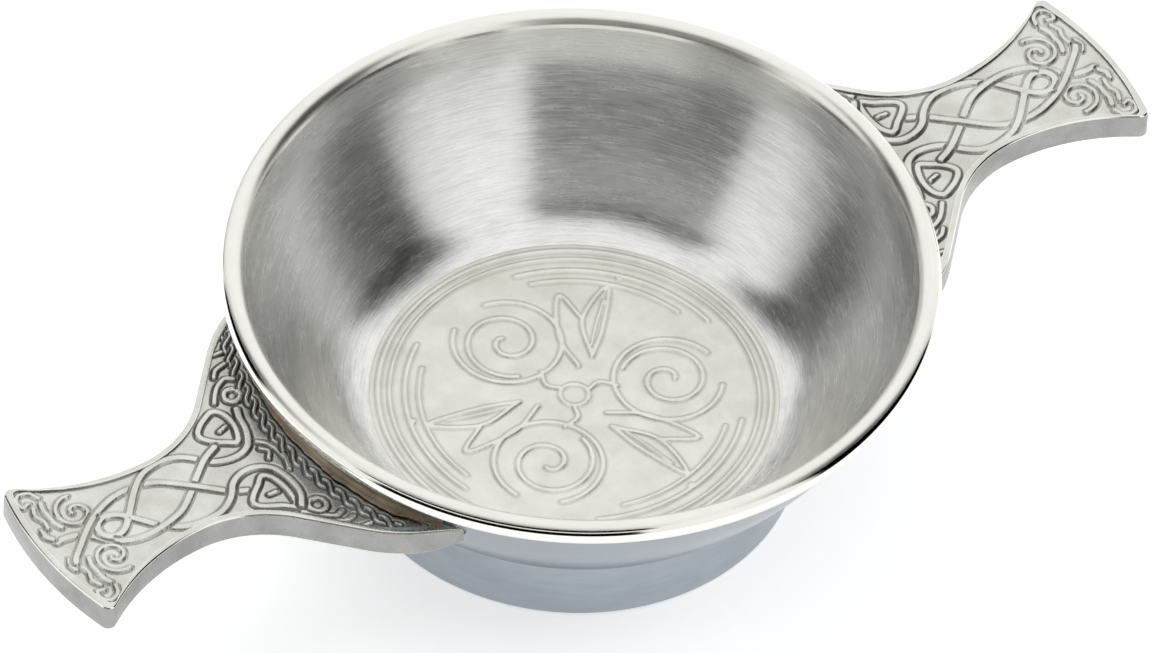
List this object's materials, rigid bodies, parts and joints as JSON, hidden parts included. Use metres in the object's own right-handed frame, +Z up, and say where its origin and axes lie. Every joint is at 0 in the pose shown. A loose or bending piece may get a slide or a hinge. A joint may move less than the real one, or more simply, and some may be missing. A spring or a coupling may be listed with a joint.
{
  "type": "two-lugged drinking bowl",
  "caption": "Quaich: a shallow round pewter drinking bowl with a rolled rim, a ring foot, a relief disc in its floor and two flat waisted lugs carved with interlace.",
  "frame": {"origin": "centre of the foot, on the surface that the bowl stands on", "axes": "+Z up along the bowl's axis, X along the two lugs with the right lug at +X"},
  "size_m": [0.178, 0.1, 0.037],
  "materials": {
    "spun_pewter": "spun satin inside, polished outside",
    "cast_pewter": "fine satin casting, darker in its hollows",
    "solder": "dull and tarnished"
  },
  "bodies": {
    "root": {"bowl_body": "spun_pewter", "floor_medallion": "cast_pewter", "foot_ring": "spun_pewter", "foot_solder": "solder", "right_lug": "cast_pewter", "right_lug_solder": "solder", "left_lug": "cast_pewter", "left_lug_solder": "solder"}
  },
  "joints": []
}
